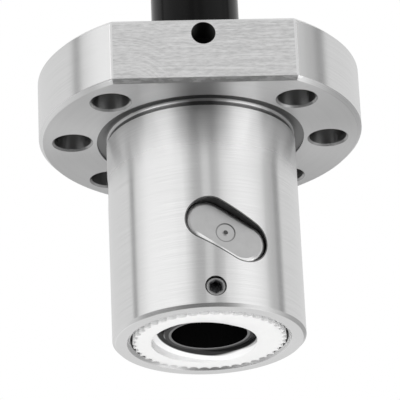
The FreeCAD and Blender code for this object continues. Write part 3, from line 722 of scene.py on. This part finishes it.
def grow_grub_screws():
    """Threaded grub screws with cone point and hexagon socket, in the place of the plain solids."""
    tree = thread_tree("screw_thread", FINISHES["black_screw"])
    core = GRUB_RADIUS - GRUB_THREAD_DEPTH
    threaded = GRUB_LENGTH - GRUB_POINT_LENGTH - GRUB_RIM
    socket = HEX_ACROSS / 2
    for name in ("nose_grub_screw", "flange_grub_screw"):
        seed = lathe(name, [
            (GRUB_POINT_RADIUS, 0.0, False, 0.0),
            (core, GRUB_POINT_LENGTH, False, 0.0),
            (core, GRUB_LENGTH - GRUB_RIM, False, 0.0),
            (GRUB_RADIUS - GRUB_RIM_STEP, GRUB_LENGTH - GRUB_RIM * 0.9, False, 0.6),
            (GRUB_RADIUS - GRUB_RIM * 0.8, GRUB_LENGTH - GRUB_RIM_DROP, False, 1.0),
            (GRUB_RADIUS - GRUB_RIM, GRUB_LENGTH, False, 0.8),
            (socket + HEX_LEAD_IN, GRUB_LENGTH, True, 0.0),
            (socket, GRUB_LENGTH - HEX_LEAD_IN, True, 0.0),
            (socket, GRUB_LENGTH - HEX_DEPTH, True, 0.0),
        ])
        sizes = {"Root Radius": core, "Ridge": GRUB_THREAD_DEPTH, "Pitch": GRUB_PITCH,
                 "Turns": threaded / GRUB_PITCH, "Start": GRUB_POINT_LENGTH}
        piece = grow(f"{name}_threaded", tree, seed, sizes)
        middle = middle_of(name)
        outwards = Vector((middle.x, middle.y, 0.0)).normalized()
        turn = outwards.to_track_quat("Z", "Y").to_matrix().to_4x4()
        piece.data.transform(Matrix.Translation(middle - outwards * GRUB_LENGTH / 2) @ turn)
        piece.data.shade_smooth()
        piece.data.set_sharp_from_angle(angle=SHARP_ANGLE)
        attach(piece, "nut")
        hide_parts(name)


def grow_port_thread():
    """The thread inside the oil port, half a pitch short of its floor and of its mouth."""
    tree = thread_tree("port_thread", tapped_steel())
    turns = PORT_LENGTH / PORT_PITCH - 1.0
    sizes = {"Root Radius": PORT_RADIUS, "Ridge": -PORT_THREAD_DEPTH, "Pitch": PORT_PITCH,
             "Turns": turns, "Start": -turns * PORT_PITCH / 2}
    piece = grow("oil_port_thread", tree, bpy.data.meshes.new("oil_port_thread"), sizes)
    turn = Vector((0.0, 1.0, 0.0)).to_track_quat("Z", "Y").to_matrix().to_4x4()
    piece.data.transform(Matrix.Translation(PORT_PLACE) @ turn)
    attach(piece, "nut")


grow_balls()
grow_grub_screws()
grow_port_thread()


# Studio: what metal mirrors by direction, plain light, floor and camera

# Three belts of what metal mirrors: a plain level, and panels and flags laid over it in turn.
# Each is the angle round from the front of its middle, half its width, its soft edge, and its level.
STUDIO_ABOVE = (0.76, [
    (0, 15, 18, 0.55),
    (-55, 22, 24, 0.95),
    (42, 8, 28, 0.93),
    (-98, 2.5, 2.4, 0.36),
    (85, 3, 14, 0.54),
    (94.5, 3, 3.5, 0.33),
    (1, 1.5, 7, 0.74),
])
STUDIO_BELOW = (0.74, [
    (-54, 12, 18, 2.3),
    (54, 12, 18, 2.3),
    (-140, 34, 20, 0.80),
    (140, 34, 20, 0.42),
    (180, 9, 11, 0.68),
    (0, 12, 12, 0.05),
])
STUDIO_NADIR = (0.60, [
    (-72, 10, 25, 0.80),
    (72, 10, 25, 0.88),
    (-26, 70, 17, 0.19),
])
ZENITH = 0.85
AMBIENT = 0.62
BACKGROUND = 1.0

# Heights of a direction, -1 straight down to 1 straight up, over which one belt fades into the next
NADIR_FADE = (-0.64, -0.48)
HORIZON_FADE = (-0.1, 0.28)
ZENITH_FADE = (0.7, 0.95)

FLOOR_HALF = 2.0
FLOOR_HEIGHT = -0.1 * MM
FLOOR_GREY = 0.88

# Soft lamps: name, place, side in metres and power in watts
LAMPS = [
    ("key_lamp", (-0.35, -0.55, 0.45), 0.45, 3.0),
    ("fill_lamp", (0.55, -0.35, 0.15), 0.5, 1.5),
    ("under_lamp", (0.0, -0.35, -0.45), 0.5, 2.2),
    ("rear_lamp", (0.1, 0.6, 0.5), 0.5, 2.0),
]

# The camera that meets the photograph's outlines: its distance, its turn, rise and roll, and its aim
CAMERA_DISTANCE = 404.065 * MM
CAMERA_TURN = math.radians(-3.062)
CAMERA_RISE = math.radians(-23.856)
CAMERA_ROLL = math.radians(-2.56)
CAMERA_ASIDE = -0.476 * MM
CAMERA_AIM_HEIGHT = 22.329 * MM
CAMERA_CLIP = (0.01, 20.0)
FOCAL_PIXELS = 2745.094
PICTURE_WIDTH = 400
SENSOR_WIDTH = 36.0


def brightness_round(tree, turn, level, panels):
    """Level at an angle round from the front, in degrees."""
    for middle, half, edge, panel_level in panels:
        off = calc(tree, "WRAP", minus(tree, turn, middle), 180.0, -180.0)
        shown = ease(tree, calc(tree, "ABSOLUTE", off), half, half + edge, start=1.0, end=0.0)
        level = choose(tree, shown, level, panel_level)
    return level


def make_world():
    """What metal mirrors, an even light on the rest, and a white background."""
    world = bpy.data.worlds.new("studio")
    scene.world = world
    world.use_nodes = True
    tree = world.node_tree
    tree.nodes.clear()
    x, y, z = split(tree, add(tree, "ShaderNodeTexCoord").outputs["Generated"])
    turn = calc(tree, "DEGREES", calc(tree, "ARCTAN2", x, product(tree, y, -1.0)))
    belts = (STUDIO_ABOVE, STUDIO_BELOW, STUDIO_NADIR)
    above, below, nadir = (brightness_round(tree, turn, *belt) for belt in belts)
    mirrored = choose(tree, ease(tree, z, *HORIZON_FADE), below, above)
    mirrored = choose(tree, ease(tree, z, *NADIR_FADE), nadir, mirrored)
    mirrored = choose(tree, ease(tree, z, *ZENITH_FADE), mirrored, ZENITH)
    path = add(tree, "ShaderNodeLightPath").outputs
    shiny = calc(tree, "MAXIMUM", path["Is Glossy Ray"], path["Is Transmission Ray"])
    level = choose(tree, shiny, AMBIENT, mirrored)
    level = choose(tree, path["Is Camera Ray"], level, BACKGROUND)
    glow = add(tree, "ShaderNodeBackground", {"Color": grey(1.0), "Strength": level}).outputs[0]
    add(tree, "ShaderNodeOutputWorld", {"Surface": glow})


def make_floor():
    """A pale floor that shows from above only, so that the view from below sees past it."""
    sides = ((-1, -1), (1, -1), (1, 1), (-1, 1))
    corners = [(x * FLOOR_HALF, y * FLOOR_HALF, FLOOR_HEIGHT) for x, y in sides]
    mesh = bpy.data.meshes.new("floor")
    mesh.from_pydata(corners, [], [(0, 1, 2, 3)])
    floor = bpy.data.objects.new("floor", mesh)
    scene.collection.objects.link(floor)
    material = bpy.data.materials.new("pale_floor")
    material.use_nodes = True
    tree = material.node_tree
    tree.nodes.clear()
    path = add(tree, "ShaderNodeLightPath").outputs
    back = add(tree, "ShaderNodeNewGeometry").outputs["Backfacing"]
    shown = product(tree, path["Is Camera Ray"], minus(tree, 1.0, back))
    clear = add(tree, "ShaderNodeBsdfTransparent").outputs[0]
    pale = add(tree, "ShaderNodeBsdfDiffuse", {"Color": grey(FLOOR_GREY)}).outputs[0]
    surface = add(tree, "ShaderNodeMixShader", {0: shown, 1: clear, 2: pale}).outputs[0]
    add(tree, "ShaderNodeOutputMaterial", {"Surface": surface})
    mesh.materials.append(material)


def make_lamp(name, place, side, power):
    """A soft square lamp that looks at the nut; metal mirrors the studio instead of the lamp."""
    lamp = bpy.data.lights.new(name, "AREA")
    lamp.size = side
    lamp.energy = power
    holder = bpy.data.objects.new(name, lamp)
    holder.location = place
    sight = Vector((0.0, 0.0, NUT_HIGH.z / 2)) - Vector(place)
    holder.rotation_euler = sight.to_track_quat("-Z", "Y").to_euler()
    holder.visible_glossy = False
    scene.collection.objects.link(holder)


def make_camera():
    """The camera, from its line of sight and its roll about it."""
    camera = bpy.data.cameras.new("camera")
    camera.sensor_width = SENSOR_WIDTH
    camera.lens = FOCAL_PIXELS / PICTURE_WIDTH * SENSOR_WIDTH
    camera.clip_start, camera.clip_end = CAMERA_CLIP
    holder = bpy.data.objects.new("camera", camera)
    scene.collection.objects.link(holder)
    turn_side, turn_back = math.sin(CAMERA_TURN), math.cos(CAMERA_TURN)
    level_reach = math.cos(CAMERA_RISE)
    back = Vector((turn_side * level_reach, -turn_back * level_reach, math.sin(CAMERA_RISE)))
    aim = Vector((CAMERA_ASIDE * turn_back, CAMERA_ASIDE * turn_side, CAMERA_AIM_HEIGHT))
    holder.location = aim + back * CAMERA_DISTANCE
    right = Vector((0.0, 0.0, 1.0)).cross(back).normalized()
    up = back.cross(right)
    level = Matrix((right, up, back)).transposed()
    holder.rotation_euler = (level @ Matrix.Rotation(CAMERA_ROLL, 3, "Z")).to_euler()
    scene.camera = holder


make_world()
make_floor()
for lamp_values in LAMPS:
    make_lamp(*lamp_values)
make_camera()
